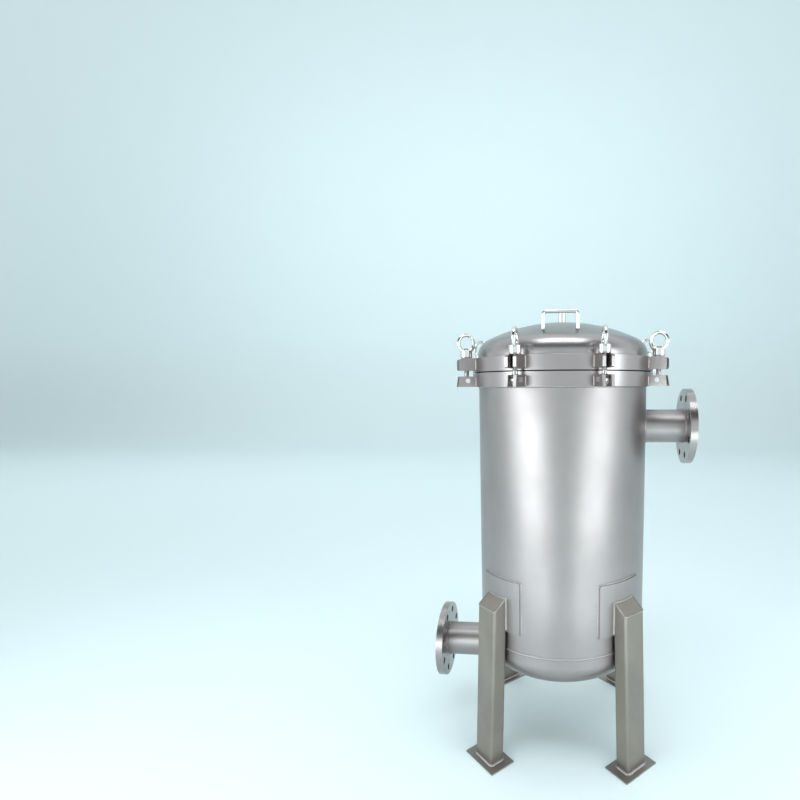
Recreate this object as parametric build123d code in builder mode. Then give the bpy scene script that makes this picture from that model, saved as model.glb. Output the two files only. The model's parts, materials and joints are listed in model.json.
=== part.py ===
"""Multi-bag filter housing: a dished-end pressure vessel on four legs, closed by a lid
that eight swing bolts with eye nuts hold down.

Millimetres. The origin is on the vessel axis at floor level, +Z up, -Y is the front and
+X the inlet side. Azimuths are measured from +X, counter-clockwise seen from above.
"""
import os
from math import asin, cos, degrees, radians, sin, sqrt, tan

from build123d import *

# ---- vessel ----
shell_od = 450.0
shell_wall = 4.0
seam_height = 993.0  # middle of the gap between the two ring flanges
flange_gap = 3.0
ring_od = 482.0
ring_height = 35.0
weld_height = 295.0  # butt weld between the shell and the bottom head
head_straight = 25.0  # straight flange of the bottom head
head_depth = 97.0  # semi-elliptical
weld_bead = 1.6

# ---- lid ----
lid_head_od = 454.0
lid_straight = 8.0
crown_radius = lid_head_od  # torispherical: crown as wide as the head, knuckle a tenth
knuckle_radius = lid_head_od / 10
handle_width = 92.0
handle_height = 45.0
handle_bar = 9.0
handle_bend = 7.0
handle_offset = 160.0  # from the vessel axis towards the front
vent_od = 19.5
vent_bore = 13.0
vent_height = 27.0
vent_hole = 8.0
plug_length = 11.0
plug_recess = 0.5
plug_hex = 6.0
thread_clearance = 0.05

# ---- closure: swing bolts in pairs of ears ----
bolt_count = 8
bolt_circle = 524.0
ear_thickness = 8.0
ear_slot = 14.0
ear_reach = 22.0  # outwards from the bolt circle
ear_root = 30.0  # inwards from the bolt circle, trimmed to the ring
lower_ear_top_drop = 10.0  # below the seam
lower_ear_flare = 2.0
upper_ear_rise = 5.0  # above the seam
ear_corner = 4.0
seat_half = 4.0  # flat of the nut seat, outwards from the bolt
pin_drop = 21.0  # below the seam
pin_diameter = 12.0
pin_overhang = 2.0
pin_clearance = 0.05
eye_diameter = 26.0
eye_side_clearance = 0.3
bolt_diameter = 12.0
bolt_end_rise = 4.0  # bolt end above the boss of the nut
seat_clearance = 0.3
washer_od = 28.0
washer_thickness = 2.5
washer_play = 0.5
nut_boss_od = 30.0
nut_boss_height = 17.5
nut_boss_chamfer = 2.0
nut_ring_bar = 10.0
nut_ring_mean = 42.5
nut_ring_sink = 10.0  # ring bottom below the top of the boss
nut_turns = (12.0, -30.0, 25.0, -8.0, 17.5, 20.0, -18.0, -5.5)  # how each nut was left

# ---- seal ----
groove_width = 8.0
groove_depth = 4.0
seal_clearance = 0.05
seal_compressed_gap = 0.3

# ---- connections, DN80 PN16 ----
pipe_od = 88.9
pipe_wall = 3.2
flange_od = 200.0
flange_thickness = 20.0
flange_pcd = 160.0
flange_holes = 8
flange_hole = 18.0
raised_face_od = 138.0
raised_face = 2.0
connection_reach = 345.0  # sealing face from the vessel axis
inlet_height = 849.0
outlet_height = 224.0
pipe_setback = 1.0  # pipe end behind the sealing face

# ---- legs ----
leg_angle = 46.0  # from the X axis, mirrored to the other three quarters
leg_width = 68.0
leg_depth = 40.0
leg_wall = 4.0
leg_corner = 6.0  # outside of its bent edges
leg_splay = 2.2  # degrees outwards
leg_top_outer = 403.0
leg_top_inner = 434.0
leg_top_reach = 264.5  # outer face from the vessel axis at leg_top_outer
pad_thickness = 6.0
pad_angle = 48.0
pad_width = 134.0
pad_bottom = 344.0
pad_top = 477.0
pad_corner = 5.0
foot_length = 112.0
foot_width = 70.0
foot_thickness = 4.0

# ---- inside: tube sheet, baskets and bags ----
sheet_height = 783.0
sheet_thickness = 10.0
sheet_clearance = 0.3
bag_count = 3
bag_circle = 216.0
basket_od = 165.0
basket_wall = 2.0
basket_length = 420.0
basket_rim = 186.0
basket_rim_height = 6.0
basket_clearance = 0.5
bag_clearance = 0.6
bag_wall = 2.5
bag_ring_height = 8.0
bag_ring_clearance = 0.3

# ---- drain under the bottom head ----
drain_od = 26.0
drain_bore = 16.0
drain_length = 24.0
drain_plug_length = 14.0

# ---- places worked out from the sizes ----
ring_radius = ring_od / 2
shell_radius = shell_od / 2
shell_bore = shell_radius - shell_wall
body_flange_top = seam_height - flange_gap / 2
body_flange_bottom = body_flange_top - ring_height
lid_flange_bottom = seam_height + flange_gap / 2
lid_flange_top = lid_flange_bottom + ring_height
lid_head_radius = lid_head_od / 2
lid_tangent = lid_flange_top + lid_straight
crown_half_angle = degrees(asin((lid_head_radius - knuckle_radius) / (crown_radius - knuckle_radius)))
crown_centre = lid_tangent - (crown_radius - knuckle_radius) * cos(radians(crown_half_angle))
lid_apex = crown_centre + crown_radius
head_tangent = weld_height - head_straight
head_bottom = head_tangent - head_depth
bolt_radius = bolt_circle / 2
pin_height = seam_height - pin_drop
seat_height = lid_flange_top
washer_bottom = seat_height + seat_clearance
nut_bottom = washer_bottom + washer_thickness + seat_clearance
nut_boss_top = nut_bottom + nut_boss_height
nut_ring_height = nut_boss_top - nut_ring_sink + (nut_ring_mean + nut_ring_bar) / 2
seat_swing = sqrt((seat_height - pin_height) ** 2 + seat_half**2)  # ear top, about the pin
seal_radius = (ring_radius + shell_bore) / 2
pipe_radius = pipe_od / 2
flange_back = connection_reach - flange_thickness
bolt_azimuths = [360 / bolt_count * (index + 0.5) for index in range(bolt_count)]
leg_azimuths = [leg_angle, 180 - leg_angle, 180 + leg_angle, 360 - leg_angle]
bag_azimuths = [360 / bag_count * index for index in range(bag_count)]

os.makedirs("parts", exist_ok=True)


def save(part, name):
    """Label a finished sub-part and write it to its own STEP file."""
    part.label = name
    export_step(part, f"parts/{name}.step")


def around(azimuth, radius, height=0.0):
    """Point at an azimuth, a distance from the vessel axis and a height."""
    return (radius * cos(radians(azimuth)), radius * sin(radians(azimuth)), height)


def upright_plane(azimuth, radius, side=0.0):
    """Plane that holds the vessel axis: x runs outwards from the radius, y is up.

    side moves the plane sideways, along its normal.
    """
    origin = Vector(*around(azimuth, radius)) + Vector(*around(azimuth - 90, side))
    return Plane(origin=origin, x_dir=around(azimuth, 1), z_dir=around(azimuth - 90, 1))


def bottom_arc(radius, depth):
    """Quarter ellipse from the rim of the bottom head down to the vessel axis."""
    return EllipticalCenterArc((0, head_tangent), radius, depth, 0, arc_size=-90)


def lid_section(wall):
    """Half section of the lid's head, from its outside inwards by a wall."""
    knuckle_centre = (lid_head_radius - knuckle_radius, lid_tangent)
    turn = 90 - crown_half_angle
    with BuildSketch(Plane.XZ) as section:
        with BuildLine():
            outer_knuckle = CenterArc(knuckle_centre, knuckle_radius, 0, turn)
            outer_crown = CenterArc((0, crown_centre), crown_radius, turn, crown_half_angle)
            inner_knuckle = CenterArc(knuckle_centre, knuckle_radius - wall, 0, turn)
            inner_crown = CenterArc((0, crown_centre), crown_radius - wall, turn, crown_half_angle)
            Line(outer_crown @ 1, inner_crown @ 1)
            Polyline(
                outer_knuckle @ 0,
                (lid_head_radius, lid_flange_top),
                (lid_head_radius - wall, lid_flange_top),
                inner_knuckle @ 0,
            )
        make_face()
    return section.sketch


# ---- shell, with the inlet's opening ----
with BuildPart() as shell:
    with BuildSketch(Plane.XY.offset(weld_height)):
        Circle(shell_radius)
        Circle(shell_bore, mode=Mode.SUBTRACT)
    extrude(amount=body_flange_bottom - weld_height)
    with BuildSketch(Plane.YZ.offset(shell_bore - shell_wall)):
        with Locations((0, inlet_height)):
            Circle(pipe_radius)
    extrude(amount=3 * shell_wall, mode=Mode.SUBTRACT)
save(shell.part, "shell")

# ---- bottom head, with the outlet's and the drain's openings ----
with BuildPart() as bottom_head:
    with BuildSketch(Plane.XZ):
        with BuildLine():
            outside = bottom_arc(shell_radius, head_depth)
            inside = bottom_arc(shell_bore, head_depth - shell_wall)
            Line(outside @ 1, inside @ 1)
            Polyline(outside @ 0, (shell_radius, weld_height), (shell_bore, weld_height), inside @ 0)
        make_face()
    revolve(axis=Axis.Z)
    with BuildSketch(Plane.YZ):
        with Locations((0, outlet_height)):
            Circle(pipe_radius)
    extrude(amount=-shell_radius, mode=Mode.SUBTRACT)
    with BuildSketch(Plane.XY.offset(head_bottom)):
        Circle(drain_bore / 2)
    extrude(amount=2 * shell_wall, mode=Mode.SUBTRACT)
save(bottom_head.part, "bottom_head")

# ---- weld bead round the joint of shell and head ----
with BuildPart() as girth_weld:
    with BuildSketch(Plane.XZ):
        with Locations((shell_radius, weld_height)):
            Circle(weld_bead)
        Rectangle(2 * shell_radius, 2 * body_flange_bottom, mode=Mode.SUBTRACT)
    revolve(axis=Axis.Z)
save(girth_weld.part, "girth_weld")

# ---- body flange: a plain ring with a groove for the seal ----
with BuildPart() as body_flange:
    with BuildSketch(Plane.XY.offset(body_flange_bottom)):
        Circle(ring_radius)
        Circle(shell_bore, mode=Mode.SUBTRACT)
    extrude(amount=ring_height)
    with BuildSketch(Plane.XY.offset(body_flange_top)):
        Circle(seal_radius + groove_width / 2)
        Circle(seal_radius - groove_width / 2, mode=Mode.SUBTRACT)
    extrude(amount=-groove_depth, mode=Mode.SUBTRACT)
save(body_flange.part, "body_flange")

# ---- O-ring, pressed nearly flat to the lid ----
seal_bottom = body_flange_top - groove_depth + seal_clearance
seal_bar = lid_flange_bottom - seal_compressed_gap - seal_bottom
with BuildPart() as seal:
    with BuildSketch(Plane.XZ):
        with Locations((seal_radius, seal_bottom + seal_bar / 2)):
            Circle(seal_bar / 2)
    revolve(axis=Axis.Z)
save(seal.part, "seal_ring")


# ---- ears: two plates for each swing bolt on either ring ----
def lower_ear(face):
    """Plate under the seam, a little longer at its foot and drilled for the pin."""
    top = seam_height - lower_ear_top_drop
    with BuildSketch(face) as outline:
        with BuildLine():
            Polyline(
                (-ear_root, body_flange_bottom),
                (ear_reach + lower_ear_flare, body_flange_bottom),
                (ear_reach - lower_ear_flare, top),
                (-ear_root, top),
                close=True,
            )
        make_face()
        with Locations((0, pin_height)):
            Circle(pin_diameter / 2, mode=Mode.SUBTRACT)
    return outline.sketch


def upper_ear(face):
    """Plate above the seam: a flat seat that falls away on an arc about the pin."""
    foot = seam_height + upper_ear_rise
    middle = (seat_half + ear_reach) / 2
    outer_top = (ear_reach, pin_height + sqrt(seat_swing**2 - ear_reach**2))
    with BuildSketch(face) as outline:
        with BuildLine():
            ThreePointArc(
                (seat_half, seat_height),
                (middle, pin_height + sqrt(seat_swing**2 - middle**2)),
                outer_top,
            )
            Polyline(
                outer_top,
                (ear_reach, foot),
                (-ear_root, foot),
                (-ear_root, seat_height),
                (seat_half, seat_height),
            )
        make_face()
        fillet(vertices().sort_by(Axis.X)[-2:], ear_corner)
    return outline.sketch


def ear_pairs(outline):
    """Plates with one outline on both sides of every slot, trimmed to the ring."""
    with BuildPart() as ears:
        for azimuth in bolt_azimuths:
            for side in (-1, 1):
                face = upright_plane(azimuth, bolt_radius, side * ear_slot / 2)
                extrude(outline(face), amount=side * ear_thickness)
        with BuildSketch():
            Circle(ring_radius)
        extrude(amount=lid_flange_top, mode=Mode.SUBTRACT)
    return ears.part


save(ear_pairs(lower_ear), "lower_ears")
save(ear_pairs(upper_ear), "upper_ears")

pin_length = ear_slot + 2 * (ear_thickness + pin_overhang)
with BuildPart() as hinge_pins:
    for azimuth in bolt_azimuths:
        with BuildSketch(upright_plane(azimuth, bolt_radius, -pin_length / 2)):
            with Locations((0, pin_height)):
                Circle(pin_diameter / 2)
        extrude(amount=pin_length)
save(hinge_pins.part, "hinge_pins")

# ---- lid: ring flange, dished head, handle and vent ----
with BuildPart() as lid_flange:
    with BuildSketch(Plane.XY.offset(lid_flange_bottom)):
        Circle(ring_radius)
        Circle(shell_bore, mode=Mode.SUBTRACT)
    extrude(amount=ring_height)
save(lid_flange.part, "lid_flange")

with BuildPart() as lid_head:
    revolve(lid_section(shell_wall), Axis.Z)
    with BuildSketch(Plane.XY.offset(lid_apex)):
        Circle(vent_hole / 2)
    extrude(amount=-2 * shell_wall, mode=Mode.SUBTRACT)
save(lid_head.part, "lid_head")

handle_span = (handle_width - handle_bar) / 2
handle_foot = sqrt(handle_span**2 + handle_offset**2)
handle_base = crown_centre + sqrt(crown_radius**2 - handle_foot**2)
handle_plane = Plane(origin=(0, -handle_offset, handle_base), x_dir=(1, 0, 0), z_dir=(0, -1, 0))
with BuildPart() as handle:
    with BuildLine(handle_plane):
        path = FilletPolyline(
            (-handle_span, -handle_bar),
            (-handle_span, handle_height - handle_bar / 2),
            (handle_span, handle_height - handle_bar / 2),
            (handle_span, -handle_bar),
            radius=handle_bend,
        )
    with BuildSketch(Plane(origin=path @ 0, z_dir=path % 0)):
        Circle(handle_bar / 2)
    sweep()
    revolve(lid_section(3 * handle_bar), Axis.Z, mode=Mode.SUBTRACT)
save(handle.part, "handle")

with BuildPart() as vent_socket:
    with BuildSketch(Plane.XY.offset(lid_apex)):
        Circle(vent_od / 2)
        Circle(vent_bore / 2, mode=Mode.SUBTRACT)
    extrude(amount=vent_height)
    chamfer(vent_socket.edges().group_by(Axis.Z)[-1].sort_by(SortBy.RADIUS)[-1], 1)
save(vent_socket.part, "vent_socket")


with BuildPart() as vent_plug:
    plug_top = Plane.XY.offset(lid_apex + vent_height - plug_recess)
    with BuildSketch(plug_top):
        Circle(vent_bore / 2 - thread_clearance)
    extrude(amount=-plug_length)
    with BuildSketch(plug_top):
        RegularPolygon(plug_hex / 2, 6, major_radius=False)
    extrude(amount=-plug_length / 2, mode=Mode.SUBTRACT)
save(vent_plug.part, "vent_plug")

# ---- swing bolts, washers and eye nuts, one of each at every pair of ears ----
for index, azimuth in enumerate(bolt_azimuths):
    number = index + 1
    slot_side = upright_plane(azimuth, bolt_radius)
    bolt_foot = around(azimuth, bolt_radius)
    eye_half = ear_slot / 2 - eye_side_clearance

    with BuildPart() as swing_bolt:
        with BuildSketch(slot_side):
            with Locations((0, pin_height)):
                Circle(eye_diameter / 2)
        extrude(amount=eye_half, both=True)
        with BuildSketch(Plane(origin=(bolt_foot[0], bolt_foot[1], pin_height))):
            Circle(bolt_diameter / 2)
        extrude(amount=nut_boss_top + bolt_end_rise - pin_height)
        with BuildSketch(slot_side):
            with Locations((0, pin_height)):
                Circle(pin_diameter / 2 + pin_clearance)
        extrude(amount=ear_slot, both=True, mode=Mode.SUBTRACT)
        chamfer(swing_bolt.edges().group_by(Axis.Z)[-1], 1)
    save(swing_bolt.part, f"swing_bolt_{number}")

    with BuildPart() as washer:
        with BuildSketch(Plane(origin=(bolt_foot[0], bolt_foot[1], washer_bottom))):
            Circle(washer_od / 2)
            Circle(bolt_diameter / 2 + washer_play, mode=Mode.SUBTRACT)
        extrude(amount=washer_thickness)
    save(washer.part, f"washer_{number}")

    with BuildPart() as eye_nut:
        with BuildSketch(Plane(origin=(bolt_foot[0], bolt_foot[1], nut_bottom))):
            Circle(nut_boss_od / 2)
        extrude(amount=nut_boss_height)
        chamfer(eye_nut.edges().group_by(Axis.Z)[-1], nut_boss_chamfer)
        ring_direction = around(azimuth + nut_turns[index], 1)
        ring_centre = (bolt_foot[0], bolt_foot[1], nut_ring_height)
        across_ring = Plane(origin=ring_centre, x_dir=ring_direction, z_dir=(0, 0, 1))
        with BuildSketch(across_ring):
            with Locations((nut_ring_mean / 2, 0)):
                Circle(nut_ring_bar / 2)
        revolve(axis=Axis(ring_centre, across_ring.y_dir))
        with BuildSketch(Plane(origin=(bolt_foot[0], bolt_foot[1], nut_bottom))):
            Circle(bolt_diameter / 2 + thread_clearance)
        extrude(amount=nut_ring_height - nut_bottom, mode=Mode.SUBTRACT)
    save(eye_nut.part, f"eye_nut_{number}")


# ---- connections: pipe and flange on either side ----
for name, side, height in (("inlet", 1, inlet_height), ("outlet", -1, outlet_height)):
    # pipe from the vessel wall to just behind the sealing face, fitted to the wall
    with BuildPart() as pipe:
        with BuildSketch(Plane.YZ):
            with Locations((0, height)):
                Circle(pipe_radius)
                Circle(pipe_radius - pipe_wall, mode=Mode.SUBTRACT)
        extrude(amount=side * (connection_reach - pipe_setback))
        with BuildSketch(Plane.XZ):
            with BuildLine():
                bottom = bottom_arc(shell_radius, head_depth)
                Polyline(
                    bottom @ 1,
                    (0, body_flange_top),
                    (shell_radius, body_flange_top),
                    bottom @ 0,
                )
            make_face()
        revolve(axis=Axis.Z, mode=Mode.SUBTRACT)
    save(pipe.part, f"{name}_pipe")

    # slip-on flange with a raised sealing face and a ring of bolt holes
    back = Plane.YZ.offset(side * flange_back)
    with BuildPart() as flange:
        with BuildSketch(back):
            with Locations((0, height)):
                Circle(flange_od / 2)
        extrude(amount=side * (flange_thickness - raised_face))
        with BuildSketch(back):
            with Locations((0, height)):
                Circle(raised_face_od / 2)
        extrude(amount=side * flange_thickness)
        with BuildSketch(back):
            with Locations((0, height)):
                Circle(pipe_radius)
                with PolarLocations(flange_pcd / 2, flange_holes, start_angle=180 / flange_holes):
                    Circle(flange_hole / 2)
        extrude(amount=side * flange_thickness, mode=Mode.SUBTRACT)
    save(flange.part, f"{name}_flange")

# ---- legs, their pads on the vessel wall and the foot plates ----
pad_radius = shell_radius + pad_thickness
leg_slant = tan(radians(leg_splay))
depth_along = leg_depth / cos(radians(leg_splay))


def leg_reach(height):
    """Distance of a leg's outer face from the vessel axis, more towards the floor."""
    return leg_top_reach + (leg_top_outer - height) * leg_slant


def leg_side(azimuth, bottom):
    """Side view of a leg with a sloping top, in the upright plane of its azimuth."""
    with BuildSketch(upright_plane(azimuth, 0)) as side_view:
        with BuildLine():
            Polyline(
                (leg_reach(bottom), bottom),
                (leg_top_reach, leg_top_outer),
                (leg_reach(leg_top_inner) - depth_along, leg_top_inner),
                (leg_reach(bottom) - depth_along, bottom),
                close=True,
            )
        make_face()
    return side_view.sketch


for number, azimuth in enumerate(leg_azimuths, start=1):
    # a box section with bent edges, open at its foot, where the foot plate closes it
    slant = Plane(
        origin=around(azimuth, leg_reach(0) - depth_along / 2),
        x_dir=around(azimuth, cos(radians(leg_splay)), sin(radians(leg_splay))),
        z_dir=around(azimuth, -sin(radians(leg_splay)), cos(radians(leg_splay))),
    )
    with BuildPart() as leg:
        with BuildSketch(slant):
            RectangleRounded(leg_depth, leg_width, leg_corner)
        extrude(amount=body_flange_bottom)
        extrude(leg_side(azimuth, foot_thickness), amount=leg_width, both=True, mode=Mode.INTERSECT)
        with BuildPart(mode=Mode.SUBTRACT):
            with BuildSketch(slant):
                RectangleRounded(
                    leg_depth - 2 * leg_wall, leg_width - 2 * leg_wall, leg_corner - leg_wall
                )
            extrude(amount=body_flange_bottom)
            hollow = offset(
                leg_side(azimuth, foot_thickness - leg_wall), -leg_wall, mode=Mode.PRIVATE
            )
            extrude(hollow, amount=leg_width, both=True, mode=Mode.INTERSECT)
        with BuildSketch():
            Circle(pad_radius)
        extrude(amount=body_flange_top, mode=Mode.SUBTRACT)
    save(leg.part, f"leg_{number}")

with BuildPart() as leg_pads:
    with BuildSketch(Plane.XY.offset(pad_bottom)):
        Circle(pad_radius)
    extrude(amount=pad_top - pad_bottom)
    with BuildSketch(Plane.XY.offset(pad_bottom)):
        Circle(shell_radius)
    extrude(amount=pad_top - pad_bottom, mode=Mode.SUBTRACT)
    for azimuth in (pad_angle, 180 - pad_angle):
        crossing = Plane(origin=(0, 0, 0), x_dir=around(azimuth + 90, 1), z_dir=around(azimuth, 1))
        with BuildSketch(crossing):
            with Locations((0, (pad_top + pad_bottom) / 2)):
                RectangleRounded(pad_width, pad_top - pad_bottom, pad_corner)
    extrude(amount=pad_radius, both=True, mode=Mode.INTERSECT)
save(leg_pads.part, "leg_pads")

with BuildPart() as foot_plates:
    foot_middle = leg_reach(foot_thickness) - depth_along / 2
    for azimuth in leg_azimuths:
        with BuildSketch(Plane(origin=around(azimuth, foot_middle), x_dir=around(azimuth, 1))):
            Rectangle(foot_width, foot_length)
        extrude(amount=foot_thickness)
save(foot_plates.part, "foot_plates")

# ---- inside: tube sheet with three baskets, each lined with a filter bag ----
bag_places = PolarLocations(bag_circle / 2, bag_count)
with BuildPart() as tube_sheet:
    with BuildSketch(Plane.XY.offset(sheet_height - sheet_thickness)):
        Circle(shell_bore - sheet_clearance)
        with bag_places:
            Circle(basket_od / 2 + basket_clearance, mode=Mode.SUBTRACT)
    extrude(amount=sheet_thickness)
save(tube_sheet.part, "tube_sheet")

for number, azimuth in enumerate(bag_azimuths, start=1):
    axis_point = around(azimuth, bag_circle / 2)
    rim_plane = Plane(origin=(axis_point[0], axis_point[1], sheet_height))
    basket_inside = basket_od / 2 - basket_wall
    bag_outside = basket_inside - bag_clearance
    with BuildPart() as basket:
        with BuildSketch(rim_plane):
            Circle(basket_rim / 2)
        extrude(amount=basket_rim_height)
        with BuildSketch(rim_plane):
            Circle(basket_od / 2)
        extrude(amount=-basket_length)
        with BuildSketch(rim_plane.offset(basket_rim_height)):
            Circle(basket_inside)
        extrude(amount=-basket_length - basket_rim_height + basket_wall, mode=Mode.SUBTRACT)
    save(basket.part, f"basket_{number}")

    bag_length = basket_length - basket_wall - bag_clearance
    with BuildPart() as bag:
        with BuildSketch(rim_plane):
            Circle(bag_outside)
        extrude(amount=-bag_length)
        with BuildSketch(rim_plane):
            Circle(bag_outside - bag_wall)
        extrude(amount=-bag_length + bag_wall, mode=Mode.SUBTRACT)
    save(bag.part, f"filter_bag_{number}")

with BuildPart() as bag_rings:
    with BuildSketch(Plane.XY.offset(sheet_height + bag_ring_clearance)):
        with bag_places:
            Circle(basket_od / 2 - basket_wall - bag_ring_clearance)
            Circle(basket_od / 2 - basket_wall - bag_ring_height, mode=Mode.SUBTRACT)
    extrude(amount=bag_ring_height)
save(bag_rings.part, "bag_rings")

# ---- drain in the bottom head ----
with BuildPart() as drain_socket:
    with BuildSketch(Plane.XY.offset(head_bottom)):
        Circle(drain_od / 2)
        Circle(drain_bore / 2, mode=Mode.SUBTRACT)
    extrude(amount=-drain_length)
save(drain_socket.part, "drain_socket")

with BuildPart() as drain_plug:
    with BuildSketch(Plane.XY.offset(head_bottom - drain_length)):
        Circle(drain_bore / 2 - thread_clearance)
    extrude(amount=drain_plug_length)
save(drain_plug.part, "drain_plug")
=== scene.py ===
"""Dresses a multi-bag filter housing: rolled steel, turned rings, weld beads, threads and felt.

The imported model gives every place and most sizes; the few that can't be read off it are fields of
the classes. This file gives each node its finish and adds what the solids leave out: the beads of
weld, the threads of the swing bolts, the perforation of the baskets and the cloth of the bags.
"""

import json
import logging
from dataclasses import dataclass
from enum import Enum
from math import cos, pi, radians, sin, sqrt, tan
from typing import Optional, Sequence

import bmesh
import bpy
import numpy as np
from mathutils import Matrix, Quaternion, Vector


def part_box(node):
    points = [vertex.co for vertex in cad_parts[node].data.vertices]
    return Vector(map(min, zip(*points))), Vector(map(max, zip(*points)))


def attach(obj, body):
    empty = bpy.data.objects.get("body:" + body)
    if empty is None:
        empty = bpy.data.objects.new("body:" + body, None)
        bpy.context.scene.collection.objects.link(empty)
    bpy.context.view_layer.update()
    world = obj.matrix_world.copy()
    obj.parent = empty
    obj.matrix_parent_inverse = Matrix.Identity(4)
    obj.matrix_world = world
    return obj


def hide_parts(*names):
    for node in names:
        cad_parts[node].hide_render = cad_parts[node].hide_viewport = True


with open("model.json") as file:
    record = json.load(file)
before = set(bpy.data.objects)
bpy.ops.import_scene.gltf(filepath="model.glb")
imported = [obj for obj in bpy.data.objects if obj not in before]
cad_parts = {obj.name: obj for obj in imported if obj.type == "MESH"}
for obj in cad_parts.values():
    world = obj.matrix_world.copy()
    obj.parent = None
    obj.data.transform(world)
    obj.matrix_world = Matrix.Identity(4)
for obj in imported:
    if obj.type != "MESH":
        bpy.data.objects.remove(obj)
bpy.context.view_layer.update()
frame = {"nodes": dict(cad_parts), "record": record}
log = logging.getLogger("bag_filter_housing")

Points = np.ndarray
TURN = 2.0 * pi
BOLTS = range(1, 9)
LEGS = range(1, 5)
BAGS = range(1, 4)


# ---------------------------------------------------------------- surfaces


class Wrap(Enum):
    """Which directions of a grid of points close on themselves."""

    NONE = (False, False)
    ROWS = (True, False)
    COLUMNS = (False, True)
    BOTH = (True, True)


def grid_faces(rows: int, columns: int, wrap: Wrap) -> np.ndarray:
    """Quads between the neighbours of a grid of points.

    Args:
        rows: Number of rows of points.
        columns: Number of points in a row.
        wrap: Which directions close.

    Returns:
        One row of four point numbers for each quad.
    """
    row_wrap, column_wrap = wrap.value
    row = np.arange(rows if row_wrap else rows - 1)
    column = np.arange(columns if column_wrap else columns - 1)
    near, left = np.meshgrid(row, column, indexing="ij")
    far, right = (near + 1) % rows, (left + 1) % columns
    corners = [near * columns + left, near * columns + right, far * columns + right, far * columns + left]
    return np.stack([corner.ravel() for corner in corners], axis=1)


def sheet_of(points: Points, wrap: Wrap) -> tuple[Points, np.ndarray]:
    """Flattens a (rows, columns, 3) grid into vertices and its quads.

    Args:
        points: Grid of points.
        wrap: Which directions close.

    Returns:
        Vertices and faces.
    """
    return points.reshape(-1, 3), grid_faces(points.shape[0], points.shape[1], wrap)


def joined(parts: Sequence[tuple[Points, np.ndarray]]) -> tuple[Points, np.ndarray]:
    """Puts several surfaces of quads into one list of vertices and faces.

    Args:
        parts: Pairs of vertices and faces.

    Returns:
        Vertices and faces of them all.
    """
    starts = np.cumsum([0] + [len(vertices) for vertices, _ in parts[:-1]])
    vertices = np.concatenate([vertices for vertices, _ in parts])
    faces = np.concatenate([faces + start for (_, faces), start in zip(parts, starts)])
    return vertices, faces


def rounded(corners: Sequence[tuple[float, float, float]], steps: int = 5) -> Points:
    """Closed outline whose corners are rounded by tangent arcs.

    The cut length at a corner is radius / tan(half its angle); the arc is swept about the centre
    that lies on the bisector.

    Args:
        corners: (x, y, radius) of each corner, in order.
        steps: Points on each arc.

    Returns:
        (n, 2) outline.
    """
    count = len(corners)
    out = []
    for index, (x, y, radius) in enumerate(corners):
        here = np.array([x, y])
        before = np.array(corners[index - 1][:2]) - here
        after = np.array(corners[(index + 1) % count][:2]) - here
        if radius <= 0.0:
            out.append(here[None])
            continue
        before, after = before / np.linalg.norm(before), after / np.linalg.norm(after)
        half = 0.5 * np.arccos(np.clip(before @ after, -1.0, 1.0))
        start, end = here + before * radius / np.tan(half), here + after * radius / np.tan(half)
        middle = here + (before + after) / np.linalg.norm(before + after) * radius / np.sin(half)
        first, last = start - middle, end - middle
        sweep = np.arccos(np.clip(first @ last / radius**2, -1.0, 1.0))
        share = np.linspace(0.0, 1.0, steps)[:, None]
        arc = (np.sin((1 - share) * sweep) * first + np.sin(share * sweep) * last) / np.sin(sweep)
        out.append(middle + arc)
    return np.concatenate(out)


def carried(path: Points, section: Points, normal: Points, closed: bool) -> Points:
    """Carries a section along a path.

    Each section point (u, v) lands at path + u * side + v * normal, where side is the tangent
    crossed with the normal, so the section keeps to the surface that the normals stand on.

    Args:
        path: (n, 3) points.
        section: (m, 2) outline, or (n, m, 2) where it changes along the path.
        normal: (n, 3) or (3,) unit directions that v follows.
        closed: Whether the path closes.

    Returns:
        (n, m, 3) grid.
    """
    if closed:
        tangent = np.roll(path, -1, axis=0) - np.roll(path, 1, axis=0)
    else:
        tangent = np.gradient(path, axis=0)
    tangent /= np.linalg.norm(tangent, axis=1, keepdims=True)
    normal = np.broadcast_to(normal, path.shape)
    side = np.cross(tangent, normal)
    side /= np.linalg.norm(side, axis=1, keepdims=True)
    upright = np.cross(side, tangent)
    if section.ndim == 2:
        section = np.broadcast_to(section, (len(path), *section.shape))
    across, up = section[:, :, 0:1], section[:, :, 1:2]
    return path[:, None] + across * side[:, None] + up * upright[:, None]


def resampled(path: Points, spacing: float, closed: bool) -> Points:
    """Even steps along a polyline, by its running length.

    Args:
        path: (n, 3) corner points.
        spacing: Distance between new points.
        closed: Whether the last point joins the first.

    Returns:
        (m, 3) points; a closed path doesn't repeat its first.
    """
    line = np.concatenate([path, path[:1]]) if closed else path
    length = np.concatenate([[0.0], np.cumsum(np.linalg.norm(np.diff(line, axis=0), axis=1))])
    count = max(int(length[-1] / spacing), 4)
    at = np.linspace(0.0, length[-1], count, endpoint=not closed)
    return np.stack([np.interp(at, length, line[:, axis]) for axis in range(3)], axis=1)


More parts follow.
